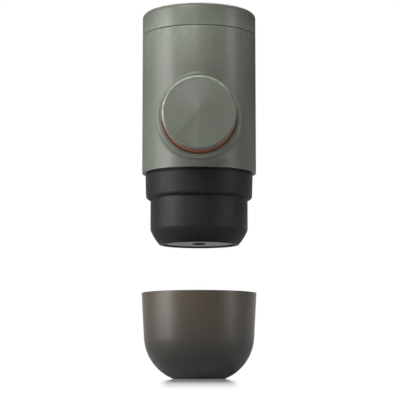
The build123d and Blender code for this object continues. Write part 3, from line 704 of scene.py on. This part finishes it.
class MAKER_OT_cup(Operator):
    """Turn the smoked cup"""

    bl_idname = "maker.cup"
    bl_label = "Cup"

    def side(self, sizes, inset):
        """The bowl's side from its foot to its shoulder, moved in by inset, and its rim."""
        rim = Vector((CUP[1].x - inset, CUP[1].z))
        shoulder = Vector((CUP[1].x - sizes.taper - inset, sizes.shoulder))
        foot = Vector((sizes.foot, inset))
        down = (shoulder - rim).normalized()
        inward = Vector((down.y, -down.x))
        chord = foot - shoulder
        radius = chord.length_squared / (2 * chord.dot(inward))
        centre = shoulder + inward * radius
        start = math.atan2(foot.y - centre.y, foot.x - centre.x)
        end = math.atan2(shoulder.y - centre.y, shoulder.x - centre.x)
        return arc(centre, radius, radius, start, end, BOWL_STEPS), rim

    def execute(self, context):
        sizes = context.scene.maker_cup
        outer, outer_rim = self.side(sizes, 0)
        inner, inner_rim = self.side(sizes, sizes.wall)
        outline = rounded(
            (0, 0),
            *outer,
            (*outer_rim, sizes.lip),
            (*inner_rim, sizes.lip),
            *reversed(inner),
            (0, sizes.wall),
        )
        mesh = bmesh.new()
        turn(mesh, outline)
        piece("cup_bowl", mesh, "cup", "smoked_plastic", "cup")
        return {"FINISHED"}


class MAKER_OT_outlet(Operator):
    """Turn the black outlet head"""

    bl_idname = "maker.outlet"
    bl_label = "Outlet head"

    def execute(self, context):
        sizes = context.scene.maker_outlet
        radius, foot, top = OUTLET[1].x, OUTLET[0].z, OUTLET[1].z
        tip = radius - sizes.taper
        bore = radius - sizes.wall
        seat = top - sizes.basket_seat
        plate_top = PLATE[1].z
        floor = plate_top + sizes.floor
        edge = sizes.rim_rounding
        flank = Vector((sizes.taper, sizes.cone))
        outward = Vector((flank.y, -flank.x)).normalized()
        shares = [n / FLANK_STEPS for n in range(1, FLANK_STEPS)]
        crowned = [
            Vector((tip, foot)) + flank * share + outward * sizes.bulge * crest(share) for share in shares
        ]
        outline = rounded(
            (tip - sizes.rim, foot, edge / 3),
            (tip, foot, edge),
            *crowned,
            (radius, foot + sizes.cone, sizes.cone_rounding),
            (radius, top, edge),
            (bore, top, edge / 2),
            (bore, seat),
            (sizes.well, seat, edge / 3),
            (sizes.well, floor + sizes.cove),
            (sizes.well - sizes.cove, floor),
            (sizes.nozzle, floor),
            (sizes.nozzle, plate_top),
            (tip - sizes.rim, plate_top),
        )
        mesh = bmesh.new()
        turn(mesh, outline)
        piece("outlet_body", mesh, "outlet_head", "black_plastic", "outlet_shell")
        return {"FINISHED"}


class MAKER_OT_casing(Operator):
    """Form the casing with the boss that blends out of it"""

    bl_idname = "maker.casing"
    bl_label = "Casing"

    def wrap(self, radius, turned, level):
        """Point on a cylinder about the maker's axis, turned to the right from the front."""
        return Vector((radius * math.sin(turned), -radius * math.cos(turned), level))

    def spread(self, half, step):
        """Distance along a side of the patch to the point with this number from its middle."""
        return half * math.tan(math.pi * step / (4 * PATCH_STEPS))

    def loops(self, sizes, phi):
        """Points from the outer skin's patch over the boss to the inner skin's, at one angle."""
        across, up = math.cos(phi), math.sin(phi)
        outer, inner = CASING[1].x, CASING[1].x - sizes.wall
        longest = max(abs(across), abs(up))
        edge_turn = sizes.patch_width / outer * across / longest
        edge_level = sizes.patch_height * up / longest
        far, root = outer + sizes.boss_root, sizes.boss_radius + sizes.boss_root
        boss_y = CASING[0].y
        blend = Vector((root * across, -math.sqrt(far**2 - (root * across) ** 2), root * up))
        points = []

        def on_skin(radius, turned, level, share, edge_wear_and_highlight=0.0):
            turned = edge_turn + (turned - edge_turn) * share
            level = edge_level + (level - edge_level) * share
            points.append((self.wrap(radius, turned, KNOB_Z + level), edge_wear_and_highlight))

        def on_boss(radius, y, edge_wear_and_highlight=0.0):
            points.append((Vector((radius * across, y, KNOB_Z + radius * up)), edge_wear_and_highlight))

        meets = math.asin(blend.x / far)
        for step in range(SKIN_STEPS + 1):
            on_skin(outer, meets, blend.z, step / SKIN_STEPS)
        to_skin = Vector((blend.x * outer / far, blend.y * outer / far, blend.z)) - blend
        to_boss = Vector((sizes.boss_radius * across, blend.y, sizes.boss_radius * up)) - blend
        for step in range(1, FILLET_STEPS + 1):
            spoke = to_skin.slerp(to_boss, step / FILLET_STEPS).normalized() * sizes.boss_root
            points.append((blend + spoke + Vector((0, 0, KNOB_Z)), 0.0))
        edge = min(sizes.boss_edge, BOSS_EDGE_LIMIT * (blend.y - boss_y))
        middle = (sizes.boss_radius - edge, boss_y + edge)
        for radius, y in arc(middle, edge, -edge, 0, math.pi / 2):
            on_boss(radius, y, 1.0)
        bore = SLEEVE_RADIUS + sizes.lip_clearance
        step_bore = GUIDE[1].x + sizes.guide_clearance
        on_boss(bore + sizes.edge, boss_y, LIP_WEAR)
        on_boss(bore, boss_y + sizes.edge, LIP_WEAR)
        on_boss(bore, boss_y + sizes.lip)
        on_boss(step_bore, boss_y + sizes.lip)
        on_boss(step_bore, -math.sqrt(inner**2 - (step_bore * across) ** 2))
        meets = math.asin(step_bore * across / inner)
        for step in reversed(range(SKIN_STEPS)):
            on_skin(inner, meets, step_bore * up, step / SKIN_STEPS)
        return points

    def execute(self, context):
        sizes = context.scene.maker_casing
        outer, foot, top = CASING[1].x, CASING[0].z, CASING[1].z
        inner = outer - sizes.wall
        numbers = range(-PATCH_STEPS, PATCH_STEPS + 1)
        levels = [KNOB_Z + self.spread(sizes.patch_height, n) for n in numbers]
        outline = rounded(
            (outer, foot, sizes.edge),
            *((outer, level) for level in levels),
            (outer, top, sizes.edge),
            (inner, top, sizes.edge / 2),
            *((inner, level) for level in reversed(levels)),
            (inner, foot, sizes.edge / 2),
        )
        half = sizes.patch_width / outer
        front = [self.spread(half, n) for n in numbers]
        rest = round((math.tau - 2 * half) / math.tau * context.scene.maker_studio.steps)
        behind = [half + (math.tau - 2 * half) * n / rest for n in range(1, rest)]
        columns = [turned - math.pi / 2 for turned in front + behind]
        low, high = KNOB_Z - sizes.patch_height, KNOB_Z + sizes.patch_height

        def in_patch(j, i):
            middle = (outline[j][1] + outline[(j + 1) % len(outline)][1]) / 2
            return i < len(front) - 1 and low < middle < high

        mesh = bmesh.new()
        turn(mesh, outline, columns, skip=in_patch)
        worn = mesh.verts.layers.float["worn"]
        chains = []
        for phi in around(8 * PATCH_STEPS):
            chain = []
            for point, edge_wear_and_highlight in self.loops(sizes, phi):
                vertex = mesh.verts.new(point)
                vertex[worn] = edge_wear_and_highlight
                chain.append(vertex)
            chains.append(chain)
        for chain, beside in zip(chains, chains[1:] + chains[:1]):
            for a, b, c, d in zip(chain, chain[1:], beside[1:], beside):
                mesh.faces.new((a, b, c, d))
        ledge = GUIDE[1].z + sizes.ledge_clearance
        shelf = rounded(
            (inner - sizes.ledge_width, ledge),
            (inner + sizes.guide_clearance, ledge),
            (inner + sizes.guide_clearance, ledge + sizes.ledge),
            (inner - sizes.ledge_width, ledge + sizes.ledge),
        )
        turn(mesh, shelf)
        piece("casing", mesh, "machine", "olive_plastic", "body_shell")
        return {"FINISHED"}


class MAKER_OT_knob(Operator):
    """Turn the knob's cap with its hollowed wedge, and the orange sleeve behind it"""

    bl_idname = "maker.knob"
    bl_label = "Knob"

    def execute(self, context):
        sizes = context.scene.maker_knob
        radius, back = KNOB[1].x, SLEEVE[0].y
        apex, rim = KNOB[0].y, back - sizes.thickness
        cone = radius - sizes.rim
        skirt = SLEEVE_RADIUS - sizes.sleeve_wall - sizes.skirt_clearance
        hub_end = back + sizes.hub_length
        shares = [n / CONE_STEPS for n in range(1, CONE_STEPS + 1)]
        outline = rounded(
            (0, apex),
            *((cone * share, apex + (rim - apex) * share) for share in shares),
            (cone, rim),
            (radius, rim, sizes.edge),
            (radius, back, sizes.edge / 4),
            (skirt, back),
            (skirt, KNOB[1].y),
            (skirt - sizes.skirt_wall, KNOB[1].y),
            (skirt - sizes.skirt_wall, back),
            (sizes.hub, back),
            (sizes.hub, hub_end),
            (sizes.spigot, hub_end),
            (sizes.spigot, back),
            (0, back),
        )
        sides = (sizes.wedge_start, sizes.wedge_end)
        even = around(context.scene.maker_studio.steps)
        clear = [angle for angle in even if min(abs(angle - side) for side in sides) > NEAR]
        columns = sorted([*sides, *clear])

        def sink(j, i, point):
            across = (columns[i] - sides[0]) / (sides[1] - sides[0])
            if 1 <= j <= CONE_STEPS and 0 < across < 1:
                point.y += sizes.scoop * crest(across) * shares[j - 1]
            return point

        mesh = bmesh.new()
        turn(mesh, outline, columns, on_knob_axis, move=sink)
        worn = mesh.verts.layers.float["worn"]
        # Paint a highlight on the rim's rounding: strongest where it faces the light at the upper left,
        # none on the shaded side.
        for vertex in mesh.verts:
            turned = math.atan2(vertex.co.z - KNOB_Z, vertex.co.x) - sizes.thumb
            vertex[worn] *= RIM_HIGHLIGHT * min(1, max(0, RIM_HIGHLIGHT_FADE * math.cos(turned)))
        piece("knob", mesh, "knob", "olive_plastic", "knob_cap")

        bore = SLEEVE_RADIUS - sizes.sleeve_wall
        catch = SLEEVE[1].y - sizes.sleeve_skirt
        tube = rounded(
            (bore, back, sizes.edge / 4),
            (SLEEVE_RADIUS, back, sizes.edge / 4),
            (SLEEVE_RADIUS, catch),
            (SLEEVE[1].x, catch, sizes.edge / 4),
            (SLEEVE[1].x, SLEEVE[1].y, sizes.edge / 4),
            (bore, SLEEVE[1].y),
        )
        mesh = bmesh.new()
        turn(mesh, tube, place=on_knob_axis)
        piece("sleeve", mesh, "knob", "orange_plastic", "knob_sleeve")
        return {"FINISHED"}


class MAKER_OT_lid(Operator):
    """Turn the crowned lid of the water tank"""

    bl_idname = "maker.lid"
    bl_label = "Lid"

    def execute(self, context):
        sizes = context.scene.maker_lid
        radius, foot, top = LID[1].x, LID[0].z, LID[1].z
        flat, crown = radius - sizes.crown_width, top - sizes.crown_height
        bore, ceiling = radius - sizes.wall, top - sizes.wall
        outline = rounded(
            (radius, foot, sizes.edge),
            *arc((flat, crown), sizes.crown_width, sizes.crown_height, 0, math.pi / 2, CROWN_STEPS),
            (0, top),
            (0, ceiling),
            (flat, ceiling),
            (flat + sizes.bevel * (bore - flat), crown + sizes.bevel * (ceiling - crown)),
            (bore, crown),
            (bore, foot, sizes.edge),
        )
        mesh = bmesh.new()
        turn(mesh, outline)
        piece("lid_crown", mesh, "lid", "olive_plastic", "lid_shell")
        return {"FINISHED"}


WHITE = (1, 1, 1, 1)
CLOTH = (0.5, 0.5, 0.5, 1)  # grey that catches the shadows under the floor's glow
FLOOR_SIZE = 6.0
FLOOR_IOR = 1.45
GRAZING = 3  # power that keeps the floor's mirror to grazing views
GLOW_REACH = (0.3, 0.6)  # how far away the floor's glow starts to rise and is full
MIRROR_REACH = (0.31, 0.72)  # how far away the floor's mirror starts to fade and is gone
HORIZON = (0.05, 0.12)  # heights between which the room turns dim in mirrors
HORIZON_GLOW = 1.3  # strength of the room in mirrors below those
SENSOR = 36.0  # width of the camera's sensor in millimetres
CLIP = (0.05, 20.0)  # nearest and farthest that the camera sees
MIDDLE = 0.1  # height that the lamps face
LAMPS = {  # degrees turned right and raised, metres away, width and height
    "key": (-65, 8, 0.62, 0.2, 0.5),
    "side": (-86, 8, 0.62, 0.2, 0.5),
    "fill": (66, 8, 0.62, 0.2, 0.5),
    "top": (-22, 40, 0.7, 0.45, 0.3),
    "back": (180, 55, 0.7, 0.4, 0.4),
}


class MAKER_OT_stage(Operator):
    """Set the floor, the room, the lamps and the camera"""

    bl_idname = "maker.stage"
    bl_label = "Stage"

    def floor(self, studio):
        """White floor that keeps the shadows and mirrors what stands on it, close to its foot."""
        mesh = bmesh.new()
        bmesh.ops.create_grid(mesh, x_segments=1, y_segments=1, size=FLOOR_SIZE)
        made = placed("floor", finished("floor", mesh))
        paper = bpy.data.materials.new("paper")
        paper.use_nodes = True
        finish = Finish(paper.node_tree)
        rays = finish.node("ShaderNodeLightPath")
        away = finish.size(finish.place())
        glow = finish.between(away, *GLOW_REACH, studio.glow, 1.0)
        glow = rays.value("Is Camera Ray") * glow + rays.value("Is Glossy Ray") * studio.floor
        cloth = finish.node("ShaderNodeBsdfDiffuse", None, Color=CLOTH)
        light = finish.node("ShaderNodeEmission", None, Strength=glow)
        white = finish.node("ShaderNodeAddShader", None, cloth.value(), light.value())
        gloss = finish.node("ShaderNodeBsdfGlossy", None, Color=WHITE, Roughness=studio.blur)
        grazing = finish.node("ShaderNodeFresnel", None, IOR=FLOOR_IOR).value() ** GRAZING
        mirror = grazing * finish.between(away, *MIRROR_REACH, studio.mirror, 0.0)
        sheen = finish.node("ShaderNodeMixShader", None, mirror, white.value(), gloss.value())
        finish.node("ShaderNodeOutputMaterial", None, Surface=sheen.value())
        coat(made.data, paper)

    def room(self, studio):
        """White to the camera and in low mirrors, and dim for all other light."""
        world = bpy.data.worlds.new("room")
        bpy.context.scene.world = world
        world.use_nodes = True
        finish = Finish(world.node_tree)
        rays = finish.node("ShaderNodeLightPath")
        straight, through = rays.value("Is Camera Ray"), rays.value("Is Transmission Ray")
        seen = straight.math("MAXIMUM", straight, through)
        direction = finish.node("ShaderNodeTexCoord").value("Generated")
        up = finish.node("ShaderNodeSeparateXYZ", None, direction).value("Z")
        mirrored = finish.between(up, *HORIZON, HORIZON_GLOW, studio.gloss)
        glossy = rays.value("Is Glossy Ray")
        dim = glossy * mirrored + (1 - glossy) * studio.ambient
        strength = seen + (1 - seen) * dim
        light = finish.node("ShaderNodeBackground", None, Color=WHITE, Strength=strength)
        finish.node("ShaderNodeOutputWorld", None, Surface=light.value())

    def lamp(self, name, watts, turned, up, away, width, height):
        """Softbox turned to the right from the front and raised, facing the maker's middle."""
        data = bpy.data.lights.new(name, "AREA")
        data.shape = "RECTANGLE"
        data.size = width
        data.size_y = height
        data.energy = watts
        made = placed(name, data)
        turned, up = math.radians(turned), math.radians(up)
        level = Vector((math.sin(turned), -math.cos(turned), 0))
        spoke = level * math.cos(up) + Vector((0, 0, math.sin(up)))
        made.location = Vector((0, 0, MIDDLE)) + spoke * away
        made.rotation_mode = "QUATERNION"
        made.rotation_quaternion = (-spoke).to_track_quat("-Z", "Y")
        made.visible_camera = False

    def camera(self, studio):
        """Camera at the front, level with the table, looking up at the maker."""
        data = bpy.data.cameras.new("camera")
        data.sensor_width = SENSOR
        data.lens = studio.lens
        data.clip_start, data.clip_end = CLIP
        made = placed("camera", data)
        made.location = (studio.aside, -studio.distance, studio.eye)
        raised = math.atan2(studio.aim - studio.eye, studio.distance)
        made.rotation_euler = (math.pi / 2 + raised, 0.0, 0.0)
        bpy.context.scene.camera = made

    def execute(self, context):
        studio = context.scene.maker_studio
        context.scene.view_settings.view_transform = "Standard"
        self.floor(studio)
        self.room(studio)
        for name, place in LAMPS.items():
            self.lamp(name, getattr(studio, name), *place)
        self.camera(studio)
        return {"FINISHED"}


class MAKER_PT_panel(Panel):
    """Lists the pieces and their sizes in the sidebar"""

    bl_idname = "MAKER_PT_panel"
    bl_label = "Espresso Maker"
    bl_space_type = "VIEW_3D"
    bl_region_type = "UI"
    bl_category = "Espresso Maker"

    def draw(self, context):
        for operator in OPERATORS:
            self.layout.operator(operator.bl_idname)
        for name in GROUPS:
            group = getattr(context.scene, name)
            box = self.layout.box()
            for setting in group.bl_rna.properties:
                if setting.identifier not in ("rna_type", "name"):
                    box.prop(group, setting.identifier)


GROUPS = {
    "maker_cup": CupSizes,
    "maker_outlet": OutletSizes,
    "maker_casing": CasingSizes,
    "maker_knob": KnobSizes,
    "maker_lid": LidSizes,
    "maker_colours": Colours,
    "maker_studio": Studio,
}
OPERATORS = (
    MAKER_OT_works,
    MAKER_OT_springs,
    MAKER_OT_cup,
    MAKER_OT_outlet,
    MAKER_OT_casing,
    MAKER_OT_knob,
    MAKER_OT_lid,
    MAKER_OT_stage,
)


def register():
    for group in GROUPS.values():
        bpy.utils.register_class(group)
    for operator in OPERATORS:
        bpy.utils.register_class(operator)
    bpy.utils.register_class(MAKER_PT_panel)
    for name, group in GROUPS.items():
        setattr(bpy.types.Scene, name, PointerProperty(type=group))


def unregister():
    for name in GROUPS:
        delattr(bpy.types.Scene, name)
    bpy.utils.unregister_class(MAKER_PT_panel)
    for operator in reversed(OPERATORS):
        bpy.utils.unregister_class(operator)
    for group in reversed(list(GROUPS.values())):
        bpy.utils.unregister_class(group)


def main():
    register()
    for operator in OPERATORS:
        group, name = operator.bl_idname.split(".")
        getattr(getattr(bpy.ops, group), name)()


if __name__ == "__main__":
    main()
